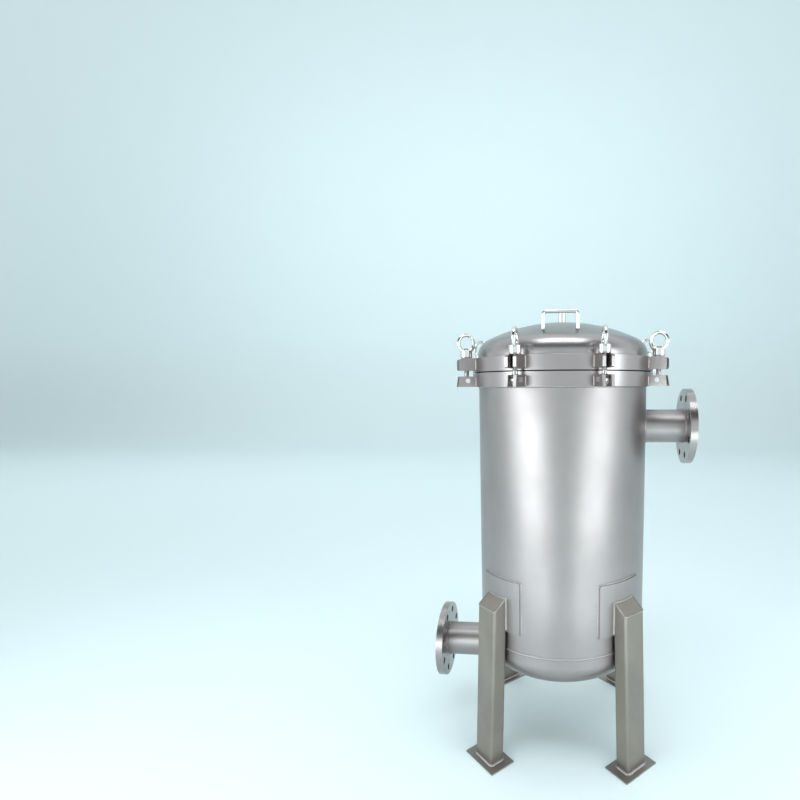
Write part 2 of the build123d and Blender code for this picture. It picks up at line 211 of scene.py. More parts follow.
def weld_bead(
    path: Points, normal: Points, width: float, closed: bool, seed: int, pitch: float = 0.0028
) -> tuple[Points, np.ndarray]:
    """Rippled fillet of weld metal along a seam.

    The section is an oval whose half width and height swell and fall once for each ripple, as
    1 + 0.10 * (1 - |1 - 2 * fraction|) of the pitch, with a slow drift from a smoothed random
    walk, and it shrinks to nothing over the first and last few millimetres of an open seam.

    Args:
        path: (n, 3) points on the seam.
        normal: Direction or directions that the bead bulges towards.
        width: Full width of the bead.
        closed: Whether the seam closes.
        seed: Seed of the drift.
        pitch: Distance from ripple to ripple.

    Returns:
        Vertices and faces of a closed surface.
    """
    line = resampled(path, pitch / 4, closed)
    if np.ndim(normal) == 2:
        share = np.linspace(0, len(normal) - 1, len(line))
        normal = np.stack([np.interp(share, np.arange(len(normal)), normal[:, k]) for k in range(3)], 1)
    count = len(line)
    ripple = 1.0 - np.abs(1.0 - 2.0 * ((np.arange(count) / 4.0) % 1.0))
    drift = np.random.default_rng(seed).normal(size=count + 64)
    drift = np.convolve(drift, np.ones(65) / 65.0, mode="valid")
    size = 1.0 + 0.16 * ripple + 0.5 * drift
    if not closed:
        end = np.minimum(np.arange(count), np.arange(count)[::-1]) / 5.0
        size *= np.sqrt(np.clip(end, 0.0, 1.0) * (2.0 - np.clip(end, 0.0, 1.0))) + 0.02
    angle = np.linspace(0.0, TURN, 10, endpoint=False)
    oval = np.stack([0.5 * width * np.cos(angle), 0.36 * width * np.sin(angle)], axis=1)
    grid = carried(line, size[:, None, None] * oval[None], normal, closed)
    if closed:
        return sheet_of(grid, Wrap.BOTH)
    ends = np.stack([np.broadcast_to(line[:1], grid[0].shape), np.broadcast_to(line[-1:], grid[0].shape)])
    return sheet_of(np.concatenate([ends[:1], grid, ends[1:]]), Wrap.COLUMNS)


def arc_points(radius: float, height: float, start: float, end: float, count: int) -> Points:
    """Points on a level circle about the vessel axis, from one azimuth to another, in radians."""
    angle = np.linspace(start, end, count)
    return np.stack([radius * np.cos(angle), radius * np.sin(angle), np.full(count, height)], axis=1)


def put(
    name: str,
    surface: tuple[Points, np.ndarray],
    finish: "Finish",
    body: str,
    smooth_angle: float = 40.0,
) -> bpy.types.Object:
    """Makes one piece from a surface and lets it ride on a body.

    Args:
        name: Name of the piece.
        surface: Vertices and faces.
        finish: What it is dressed in.
        body: Body that carries it.
        smooth_angle: Edges sharper than this stay sharp, in degrees.

    Returns:
        The new object.
    """
    mesh = bpy.data.meshes.new(name)
    mesh.from_pydata(surface[0].tolist(), [], surface[1].tolist())
    work = bmesh.new()
    work.from_mesh(mesh)
    bmesh.ops.remove_doubles(work, verts=work.verts, dist=2e-6)
    bmesh.ops.dissolve_degenerate(work, edges=work.edges, dist=1e-7)
    bmesh.ops.recalc_face_normals(work, faces=work.faces)
    for face in work.faces:
        face.smooth = True
    limit = radians(smooth_angle)
    for edge in work.edges:
        edge.smooth = len(edge.link_faces) == 2 and edge.calc_face_angle(0.0) < limit
    work.to_mesh(mesh)
    work.free()
    piece = bpy.data.objects.new(name, mesh)
    bpy.context.scene.collection.objects.link(piece)
    finish.dress(piece)
    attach(piece, body)
    log.info("%s: %d faces on %s", name, len(mesh.polygons), body)
    return piece


# ---------------------------------------------------------------- finishes


class Grain(Enum):
    """How a surface was worked, which sets the run of its finest marks."""

    BLASTED = "even, fine and without a direction"
    AROUND = "fine lines round the vessel axis"
    TURNED = "fine lines round an axis along X"
    UPRIGHT = "fine lines that run up and down"
    POLISHED = "almost no marks"


class Tree:
    """A material's nodes, added one after another."""

    def __init__(self, name: str) -> None:
        """Starts an empty material of the given name."""
        self.material = bpy.data.materials.new(name)
        self.material.use_nodes = True
        self.nodes = self.material.node_tree.nodes
        self.nodes.clear()
        self.place = self.add("ShaderNodeTexCoord").outputs["Object"]

    def add(self, kind: str, settings: Optional[dict] = None, **inputs) -> bpy.types.Node:
        """Adds a node.

        Args:
            kind: Its Blender type.
            settings: Properties to set on it.
            inputs: Input name (underscores for spaces) or i0, i1 for numbered inputs, to a value
                or to the output that feeds it.

        Returns:
            The node.
        """
        node = self.nodes.new(kind)
        for key, value in (settings or {}).items():
            setattr(node, key, value)
        for key, value in inputs.items():
            socket = node.inputs[int(key[1:])] if key[0] == "i" and key[1:].isdigit() else node.inputs[
                key.replace("_", " ")]
            if isinstance(value, bpy.types.NodeSocket):
                self.material.node_tree.links.new(value, socket)
            else:
                socket.default_value = value
        return node

    def math(self, operation: str, *values) -> bpy.types.NodeSocket:
        """Result of one arithmetic step on numbers or outputs."""
        inputs = {f"i{index}": value for index, value in enumerate(values)}
        return self.add("ShaderNodeMath", {"operation": operation}, **inputs).outputs[0]

    def scaled(self, place: bpy.types.NodeSocket, scale: Sequence[float]) -> bpy.types.NodeSocket:
        """A place stretched along its axes."""
        return self.add("ShaderNodeMapping", None, Vector=place, Scale=tuple(scale)).outputs[0]

    def noise(self, place: bpy.types.NodeSocket, scale: float, detail: float = 3.0) -> bpy.types.NodeSocket:
        """Cloudy noise between 0 and 1, with features of about one over the scale, in metres."""
        return self.add("ShaderNodeTexNoise", None, Vector=place, Scale=scale, Detail=detail).outputs[0]

    def ramp(self, value, low: float, high: float, to_low: float, to_high: float) -> bpy.types.NodeSocket:
        """Maps a value from one range to another and clamps it there."""
        return self.add("ShaderNodeMapRange", None, Value=value, From_Min=low, From_Max=high,
                        To_Min=to_low, To_Max=to_high).outputs[0]

    def mixed(self, share, first, second) -> bpy.types.NodeSocket:
        """Mixes two colours by a share.

        Args:
            share: Share of the second colour, a number or an output.
            first: Colour, or the output that gives it.
            second: The other colour, or its output.

        Returns:
            The mixed colour's output.
        """
        node = self.add("ShaderNodeMix", {"data_type": "RGBA"}, i0=share)
        for socket, value in ((node.inputs[6], first), (node.inputs[7], second)):
            if isinstance(value, bpy.types.NodeSocket):
                self.material.node_tree.links.new(value, socket)
            else:
                socket.default_value = (*value, 1.0)
        return node.outputs[2]

    def about_axis(self, along: str, centre: Sequence[float]) -> bpy.types.NodeSocket:
        """Place as (distance from an axis, angle about it, height along it).

        Args:
            along: Direction of the axis, X or Z.
            centre: A point on it.

        Returns:
            The output that holds the three.
        """
        moved = self.add("ShaderNodeVectorMath", {"operation": "SUBTRACT"}, i0=self.place,
                         i1=tuple(centre)).outputs[0]
        split = self.add("ShaderNodeSeparateXYZ", None, Vector=moved).outputs
        first, second, height = (split[1], split[2], split[0]) if along == "X" else split[:3]
        squares = self.math("ADD", self.math("MULTIPLY", first, first), self.math("MULTIPLY", second, second))
        distance = self.math("SQRT", squares)
        angle = self.math("ARCTAN2", second, first)
        return self.add("ShaderNodeCombineXYZ", None, X=distance, Y=angle, Z=height).outputs[0]

    def finish(self, shader: bpy.types.Node) -> bpy.types.Material:
        """Joins the shader to the output and returns the material."""
        output = self.add("ShaderNodeOutputMaterial")
        self.material.node_tree.links.new(shader.outputs[0], output.inputs[0])
        return self.material


@dataclass(frozen=True)
class Finish:
    """One way a surface is finished, and the record's slot it belongs to."""

    name: str
    slot: str

    def build(self) -> bpy.types.Material:
        """Makes the material; each kind of finish has its own."""
        raise NotImplementedError

    def material(self) -> bpy.types.Material:
        """The finish's material, made on first use."""
        return bpy.data.materials.get(self.name) or self.build()

    def dress(self, piece: bpy.types.Object) -> None:
        """Gives a piece this finish alone."""
        piece.data.materials.clear()
        piece.data.materials.append(self.material())


@dataclass(frozen=True)
class Steel(Finish):
    """Bare stainless steel, with the marks of how it was worked.

    Attributes:
        bright: Colour of the cleaner areas.
        dull: Colour of the duller areas.
        rough: Middle roughness.
        spread: How far the roughness wanders from it.
        grain: Run of the finest marks.
        marks: Strength of those marks in the relief.
        clouds: How many soft blotches there are to a metre.
        centre: A point on the axis that the marks go round.
    """

    bright: tuple[float, float, float] = (0.415, 0.368, 0.362)
    dull: tuple[float, float, float] = (0.355, 0.315, 0.308)
    rough: float = 0.30
    spread: float = 0.06
    grain: Grain = Grain.BLASTED
    marks: float = 0.12
    clouds: float = 6.0
    centre: tuple[float, float, float] = (0.0, 0.0, 0.0)

    def lines(self, tree: Tree) -> bpy.types.NodeSocket:
        """Finest marks of the surface, as a height between 0 and 1."""
        if self.grain is Grain.AROUND:
            place = tree.scaled(tree.about_axis("Z", self.centre), (700.0, 1.6, 700.0))
        elif self.grain is Grain.TURNED:
            place = tree.scaled(tree.about_axis("X", self.centre), (900.0, 0.9, 900.0))
        elif self.grain is Grain.UPRIGHT:
            place = tree.scaled(tree.place, (620.0, 620.0, 7.0))
        else:
            place = tree.scaled(tree.place, (900.0, 900.0, 900.0))
        return tree.noise(place, 1.0, 4.0)

    def build(self) -> bpy.types.Material:
        """Steel whose colour and roughness wander in soft blotches, over fine relief."""
        tree = Tree(self.name)
        lines = self.lines(tree)
        cloud = tree.noise(tree.place, self.clouds, 5.0)
        stain = tree.noise(tree.scaled(tree.place, (1.0, 1.0, 0.35)), self.clouds * 3.1, 6.0)
        share = tree.ramp(tree.math("ADD", tree.math("MULTIPLY", cloud, 0.7),
                                    tree.math("MULTIPLY", stain, 0.3)), 0.36, 0.64, 0.0, 1.0)
        colour = tree.mixed(share, self.bright, self.dull)
        fleck = tree.ramp(lines, 0.3, 0.75, 0.0, 0.10)
        colour = tree.mixed(fleck, colour, tuple(0.72 * part for part in self.dull))
        blotched = tree.ramp(share, 0.0, 1.0, self.rough - self.spread, self.rough + self.spread)
        lined = tree.ramp(lines, 0.25, 0.75, -0.5 * self.spread, 0.5 * self.spread)
        rough = tree.math("ADD", blotched, lined)
        relief = tree.add("ShaderNodeBump", None, Strength=self.marks, Distance=0.0004, Height=lines)
        waves = tree.noise(tree.place, 11.0, 1.0)
        relief = tree.add("ShaderNodeBump", None, Strength=0.10, Distance=0.003, Height=waves,
                          Normal=relief.outputs[0])
        shader = tree.add("ShaderNodeBsdfPrincipled", None, Base_Color=colour, Metallic=1.0,
                          Roughness=rough, Normal=relief.outputs[0])
        return tree.finish(shader)


@dataclass(frozen=True)
class WeldMetal(Finish):
    """Weld beads: steel as grey as the plates, with faint straw and blue heat tints."""

    def build(self) -> bpy.types.Material:
        """Grey steel, tinted where slow noise says that it ran hot."""
        tree = Tree(self.name)
        heat = tree.noise(tree.place, 55.0, 3.0)
        straw = tree.mixed(tree.ramp(heat, 0.40, 0.66, 0.0, 1.0), (0.40, 0.36, 0.355), (0.36, 0.32, 0.30))
        tint = tree.mixed(tree.ramp(heat, 0.60, 0.74, 0.0, 0.5), straw, (0.33, 0.29, 0.30))
        grit = tree.noise(tree.place, 1300.0, 2.0)
        relief = tree.add("ShaderNodeBump", None, Strength=0.25, Distance=0.0003, Height=grit)
        shader = tree.add("ShaderNodeBsdfPrincipled", None, Base_Color=tint, Metallic=1.0,
                          Roughness=tree.ramp(grit, 0.3, 0.7, 0.30, 0.44), Normal=relief.outputs[0])
        return tree.finish(shader)


@dataclass(frozen=True)
class Rubber(Finish):
    """Black moulded rubber with a faint bloom."""

    def build(self) -> bpy.types.Material:
        """Near-black, with grey bloom in patches and a fine skin."""
        tree = Tree(self.name)
        bloom = tree.ramp(tree.noise(tree.place, 30.0, 4.0), 0.45, 0.75, 0.0, 0.4)
        skin = tree.noise(tree.place, 1500.0, 2.0)
        relief = tree.add("ShaderNodeBump", None, Strength=0.2, Distance=0.0002, Height=skin)
        shader = tree.add("ShaderNodeBsdfPrincipled", None, Roughness=0.55, Normal=relief.outputs[0],
                          Base_Color=tree.mixed(bloom, (0.012, 0.012, 0.013), (0.05, 0.05, 0.05)))
        return tree.finish(shader)


@dataclass(frozen=True)
class Felt(Finish):
    """Needled filter felt: matted short fibres."""

    def build(self) -> bpy.types.Material:
        """Off-white mat with fibre relief at two sizes and a little sheen."""
        tree = Tree(self.name)
        fibre = tree.noise(tree.scaled(tree.place, (1.0, 1.0, 0.5)), 1400.0, 5.0)
        mat = tree.noise(tree.place, 160.0, 4.0)
        colour = tree.mixed(tree.ramp(mat, 0.35, 0.65, 0.0, 1.0), (0.86, 0.84, 0.78), (0.72, 0.70, 0.63))
        height = tree.math("ADD", fibre, tree.math("MULTIPLY", mat, 1.5))
        relief = tree.add("ShaderNodeBump", None, Strength=0.6, Distance=0.0008, Height=height)
        shader = tree.add("ShaderNodeBsdfPrincipled", None, Base_Color=colour, Roughness=0.92,
                          Sheen_Weight=0.35, Normal=relief.outputs[0])
        return tree.finish(shader)


@dataclass(frozen=True)
class PerforatedSteel(Finish):
    """Sheet steel of a basket, punched with staggered round holes, which are painted near-black as painted
    shade.

    Attributes:
        centre: The basket's axis.
        columns: Holes round the basket.
        pitch: Height from one row to the next, in metres.
    """

    centre: tuple[float, float, float] = (0.0, 0.0, 0.0)
    columns: int = 84
    pitch: float = 0.006

    def build(self) -> bpy.types.Material:
        """Painted shade: near-black dots where both the column and the staggered row are near their middles,
        in place of the shade inside the holes.
        """
        tree = Tree(self.name)
        split = tree.add("ShaderNodeSeparateXYZ", None, Vector=tree.about_axis("Z", self.centre)).outputs
        row = tree.math("DIVIDE", split[2], self.pitch)
        odd = tree.math("MODULO", tree.math("FLOOR", row), 2.0)
        column = tree.math("ADD", tree.math("MULTIPLY", split[1], self.columns / TURN),
                           tree.math("MULTIPLY", odd, 0.5))
        across = tree.math("SUBTRACT", tree.math("FRACT", column), 0.5)
        up = tree.math("SUBTRACT", tree.math("FRACT", row), 0.5)
        distance = tree.math("SQRT", tree.math("ADD", tree.math("MULTIPLY", across, across),
                                               tree.math("MULTIPLY", up, up)))
        solid = tree.ramp(distance, 0.26, 0.31, 0.0, 1.0)
        cloud = tree.noise(tree.place, 9.0, 4.0)
        sheet = tree.mixed(cloud, (0.60, 0.59, 0.57), (0.48, 0.47, 0.45))
        relief = tree.add("ShaderNodeBump", None, Strength=0.8, Distance=0.0015, Height=solid)
        # Painted shade: the holes are coloured near-black and made less metallic, standing in for the shade
        # seen through them.
        shader = tree.add("ShaderNodeBsdfPrincipled", None,
                          Base_Color=tree.mixed(solid, (0.015, 0.015, 0.015), sheet),
                          Metallic=tree.ramp(solid, 0.0, 1.0, 0.2, 1.0), Roughness=0.34,
                          Normal=relief.outputs[0])
        return tree.finish(shader)


@dataclass(frozen=True)
class ThreadedSteel(Steel):
    """Turned steel with a thread cut from one height up.

    Attributes:
        pitch: Distance from thread to thread, in metres.
        start: Height of the first thread.
        outside: Distance from the axis past which nothing is threaded.
    """

    pitch: float = 0.00175
    start: float = 0.0
    outside: float = 0.0066

    def lines(self, tree: Tree) -> bpy.types.NodeSocket:
        """Helical ridges above the first thread: one turn of phase for each turn or pitch."""
        split = tree.add("ShaderNodeSeparateXYZ", None, Vector=tree.about_axis("Z", self.centre)).outputs
        phase = tree.math("SUBTRACT", tree.math("DIVIDE", split[2], self.pitch),
                          tree.math("DIVIDE", split[1], TURN))
        ridge = tree.math("PINGPONG", phase, 0.5)
        inside = tree.math("LESS_THAN", split[0], self.outside)
        above = tree.math("GREATER_THAN", split[2], self.start)
        return tree.math("MULTIPLY", tree.math("MULTIPLY", ridge, 2.0), tree.math("MULTIPLY", inside, above))


# ---------------------------------------------------------------- sub-assemblies


def dress(finish: Finish, *names: str) -> None:
    """Gives carried-over nodes a finish."""
    for name in names:
        finish.dress(frame["nodes"][name])
        log.info("%s: %s", name, finish.name)


def unit(*vectors: Points) -> Points:
    """Sum of some vectors, made unit long along the last axis."""
    total = sum(np.asarray(vector, dtype=float) for vector in vectors)
    return total / np.linalg.norm(total, axis=-1, keepdims=True)


def upright(azimuth: float, outward: Points, sideways: Points, height: Points) -> Points:
    """Points from distances out along an azimuth (in radians), sideways from it and up.

    x = out cos a - side sin a, y = out sin a + side cos a.

    Args:
        azimuth: Direction of the outward distances.
        outward: Distances from the vessel axis.
        sideways: Distances to the left of the azimuth, seen from the axis.
        height: Heights.

    Returns:
        Points along a new last axis.
    """
    outward, sideways, height = np.broadcast_arrays(outward, sideways, height)
    return np.stack([outward * cos(azimuth) - sideways * sin(azimuth),
                     outward * sin(azimuth) + sideways * cos(azimuth), height + 0.0], axis=-1)


@dataclass
class Vessel:
    """Shell, bottom head and body flange, with the beads that join them."""

    satin: Steel
    ring: Steel
    bead: WeldMetal
    rubber: Rubber
    bead_width: float = 0.006
    drain_bead_width: float = 0.005
    head_depth: float = 0.097

    def __post_init__(self) -> None:
        """Reads radius and heights off the frame."""
        low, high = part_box("shell")
        self.radius = high[0]
        self.weld_height = low[2]
        self.flange_bottom = high[2]
        self.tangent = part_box("bottom_head")[0][2] + self.head_depth

    def head_radius(self, height: Points) -> Points:
        """Radius of the bottom head: R sqrt(1 - ((z - tangent) / depth)^2) below the tangent."""
        below = np.minimum(height - self.tangent, 0.0) / self.head_depth
        return self.radius * np.sqrt(1.0 - below**2)

    def round_seam(self, radius: float, height: float) -> tuple[Points, Points]:
        """Closed level seam and its outward directions."""
        path = arc_points(radius, height, 0.0, TURN, 361)[:-1]
        return path, unit(path * (1.0, 1.0, 0.0))

    def build(self) -> None:
        """Dresses the nodes and lays the three round seams."""
        dress(self.satin, "shell", "bottom_head", "drain_socket")
        dress(self.ring, "body_flange")
        dress(self.rubber, "seal_ring")
        path, outward = self.round_seam(self.radius, self.weld_height)
        girth = put("girth_bead", weld_bead(path, outward, self.bead_width, True, 11), self.bead, "vessel")
        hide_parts("girth_weld")
        path, outward = self.round_seam(self.radius, self.flange_bottom)
        down = unit(outward, (0.0, 0.0, -1.0))
        put("body_flange_bead", weld_bead(path, down, self.bead_width, True, 12), self.bead, "vessel")
        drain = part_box("drain_socket")
        path, outward = self.round_seam(drain[1][0], drain[1][2] + 0.0004)
        down = unit(outward, (0.0, 0.0, -1.0))
        put("drain_bead", weld_bead(path, down, self.drain_bead_width, True, 13), self.bead, "vessel")


@dataclass
class Lid:
    """Ring flange, dished head, handle and vent, with their beads."""

    dome: Steel
    ring: Steel
    bright: Steel
    bead: WeldMetal
    head_bead_width: float = 0.005
    vent_bead_width: float = 0.004
    handle_bead_width: float = 0.0035
    fine_pitch: float = 0.002  # of the ripples in the two smaller beads

    def build(self) -> None:
        """Dresses the nodes and lays the beads of the head, the handle and the vent."""
        dress(self.dome, "lid_head")
        dress(self.ring, "lid_flange")
        dress(self.bright, "handle", "vent_socket", "vent_plug")
        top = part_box("lid_flange")[1][2]
        low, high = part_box("lid_head")
        path = arc_points(high[0], top, 0.0, TURN, 361)[:-1]
        outward = unit(path * (1.0, 1.0, 0.0), (0.0, 0.0, 1.0))
        put("lid_bead", weld_bead(path, outward, self.head_bead_width, True, 21), self.bead, "lid")
        low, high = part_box("vent_socket")
        path = arc_points(high[0], low[2] + 0.0005, 0.0, TURN, 91)[:-1]
        outward = unit(path * (1.0, 1.0, 0.0) / high[0], (0.0, 0.0, 1.0))
        surface = weld_bead(path, outward, self.vent_bead_width, True, 22, self.fine_pitch)
        put("vent_bead", surface, self.bead, "lid")
        self.handle_beads()

    def handle_beads(self) -> None:
        """Lays a ring of weld round either foot of the handle.

        The crown of the head is part of a sphere whose radius C is the head's diameter, so at a
        distance d from the axis it stands at top - C + sqrt(C^2 - d^2).
        """
        low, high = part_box("handle")
        bar = 0.5 * (high[1] - low[1])
        span, front = high[0] - bar, 0.5 * (low[1] + high[1])
        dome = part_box("lid_head")
        crown = 2.0 * dome[1][0]
        angle = np.linspace(0.0, TURN, 73)[:-1]
        for number, side in enumerate((-1.0, 1.0), start=1):
            x, y = side * span + bar * np.cos(angle), front + bar * np.sin(angle)
            z = dome[1][2] - crown + np.sqrt(crown**2 - x**2 - y**2)
            path = np.stack([x, y, z], axis=1)
            away = np.stack([np.cos(angle), np.sin(angle), 0.0 * angle], axis=1)
            surface = weld_bead(path, unit(away, (0.0, 0.0, 1.0)), self.handle_bead_width, True,
                                22 + number, self.fine_pitch)
            put(f"handle_bead_{number}", surface, self.bead, "lid")


@dataclass
class Closure:
    """Ears, pins, swing bolts, washers and eye nuts."""

    plate: Steel
    pin: Steel
    nut: Steel
    washer: Steel
    bead: WeldMetal
    bolt_radius: float
    ear_slot: float = 0.014
    ear_thickness: float = 0.008
    thread_length: float = 0.062
    bead_width: float = 0.004
    bead_pitch: float = 0.0022
    bead_inset: float = 0.0015  # of a bead's ends from the ring's edges

    def azimuth(self, number: int) -> float:
        """Azimuth of a bolt, in radians."""
        return TURN * (number - 0.5) / len(BOLTS)

    def build(self) -> None:
        """Dresses every piece of the closure and welds the ears to their rings."""
        dress(self.plate, "upper_ears", "lower_ears")
        dress(self.pin, "hinge_pins")
        for number in BOLTS:
            azimuth = self.azimuth(number)
            centre = (self.bolt_radius * cos(azimuth), self.bolt_radius * sin(azimuth), 0.0)
            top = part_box(f"swing_bolt_{number}")[1][2]
            bolt = ThreadedSteel(f"bolt_steel_{number}", "bolt_steel", rough=0.27, marks=0.9,
                                 centre=centre, start=top - self.thread_length)
            dress(bolt, f"swing_bolt_{number}")
            dress(self.washer, f"washer_{number}")
            dress(self.nut, f"eye_nut_{number}")
        self.ear_beads("lower_ears", "body_flange", "vessel", 31)
        self.ear_beads("upper_ears", "lid_flange", "lid", 32)

    def ear_beads(self, ears: str, ring: str, body: str, seed: int) -> None:
        """Lays a short upright bead on both faces of every ear.

        A face stands sideways s from its bolt's azimuth, so it meets the ring of radius R at
        sqrt(R^2 - s^2) outwards.

        Args:
            ears: Node of the ears.
            ring: Node of the ring that they stand on.
            body: Body that carries both.
            seed: Start of the beads' seeds.
        """
        low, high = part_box(ears)
        ring_low, ring_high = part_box(ring)
        bottom = max(low[2], ring_low[2]) + self.bead_inset
        top = min(high[2], ring_high[2]) - self.bead_inset
        height = np.linspace(bottom, top, 9)
        inner = 0.5 * self.ear_slot
        beads = []
        for number in BOLTS:
            for offset in (inner, inner + self.ear_thickness):
                for side in (-1.0, 1.0):
                    away = side if offset > inner else -side
                    out = sqrt(ring_high[0] ** 2 - offset**2)
                    path = upright(self.azimuth(number), out, side * offset, height)
                    normal = unit(upright(self.azimuth(number), 1.0, away, 0.0))
                    beads.append(weld_bead(path, normal, self.bead_width, False,
                                           seed * 100 + len(beads), self.bead_pitch))
        put(f"{ears}_beads", joined(beads), self.bead, body)


@dataclass
class Connections:
    """Inlet and outlet: pipe, flange and their beads."""

    vessel: Vessel
    satin: Steel
    bead: WeldMetal
    shell_bead_width: float = 0.0065
    back_bead_width: float = 0.006
    face_bead_width: float = 0.0028
    face_bead_inset: float = 0.001  # behind the flange's face
    face_bead_step: float = 0.0016  # inwards from the outside of the pipe

    def build(self) -> None:
        """Dresses both connections and welds them."""
        for number, (name, side) in enumerate((("inlet", 1.0), ("outlet", -1.0))):
            low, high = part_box(f"{name}_pipe")
            radius, height = 0.5 * (high[2] - low[2]), 0.5 * (high[2] + low[2])
            turned = Steel(f"{name}_turned_steel", "turned_steel", rough=0.26, spread=0.05,
                           grain=Grain.TURNED, marks=0.3, centre=(0.0, 0.0, height))
            dress(turned, f"{name}_flange")
            dress(self.satin, f"{name}_pipe")
            self.shell_bead(name, side, radius, height, 41 + number)
            low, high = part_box(f"{name}_flange")
            faces = sorted((abs(low[0]), abs(high[0])))
            angle = np.linspace(0.0, TURN, 181)[:-1]
            ring = np.stack([0.0 * angle, np.cos(angle), np.sin(angle)], axis=1)
            front = faces[1] - self.face_bead_inset
            for kind, reach, at, spread, slope, width in (
                ("back", faces[0], radius, 1.0, -side, self.back_bead_width),
                ("face", front, radius - self.face_bead_step, 0.3, side, self.face_bead_width),
            ):
                path = ring * at + (side * reach, 0.0, height)
                outward = unit(ring * spread, (slope, 0.0, 0.0))
                put(f"{name}_flange_bead_{kind}", weld_bead(path, outward, width, True, 43 + number),
                    self.bead, "vessel")

    def shell_bead(self, name: str, side: float, radius: float, height: float, seed: int) -> None:
        """Bead where a pipe meets the vessel wall.

        A pipe point at (y, z) meets the wall at |x| = sqrt(R(z)^2 - y^2), where R(z) is the
        vessel's radius at that height.

        Args:
            name: Which connection.
            side: 1 towards +X, -1 towards -X.
            radius: Outside of the pipe.
            height: Height of its axis.
            seed: Seed of the bead.
        """
        angle = np.linspace(0.0, TURN, 241)[:-1]
        across, up = radius * np.cos(angle), height + radius * np.sin(angle)
        wall = self.vessel.head_radius(up)
        x = side * np.sqrt(wall**2 - across**2)
        away = np.stack([0.0 * angle, np.cos(angle), np.sin(angle)], axis=1)
        path = np.stack([x, across, up], axis=1)
        surface = weld_bead(path, unit(away, (side, 0.0, 0.0)), self.shell_bead_width, True, seed)
        put(f"{name}_pipe_bead", surface, self.bead, "vessel")


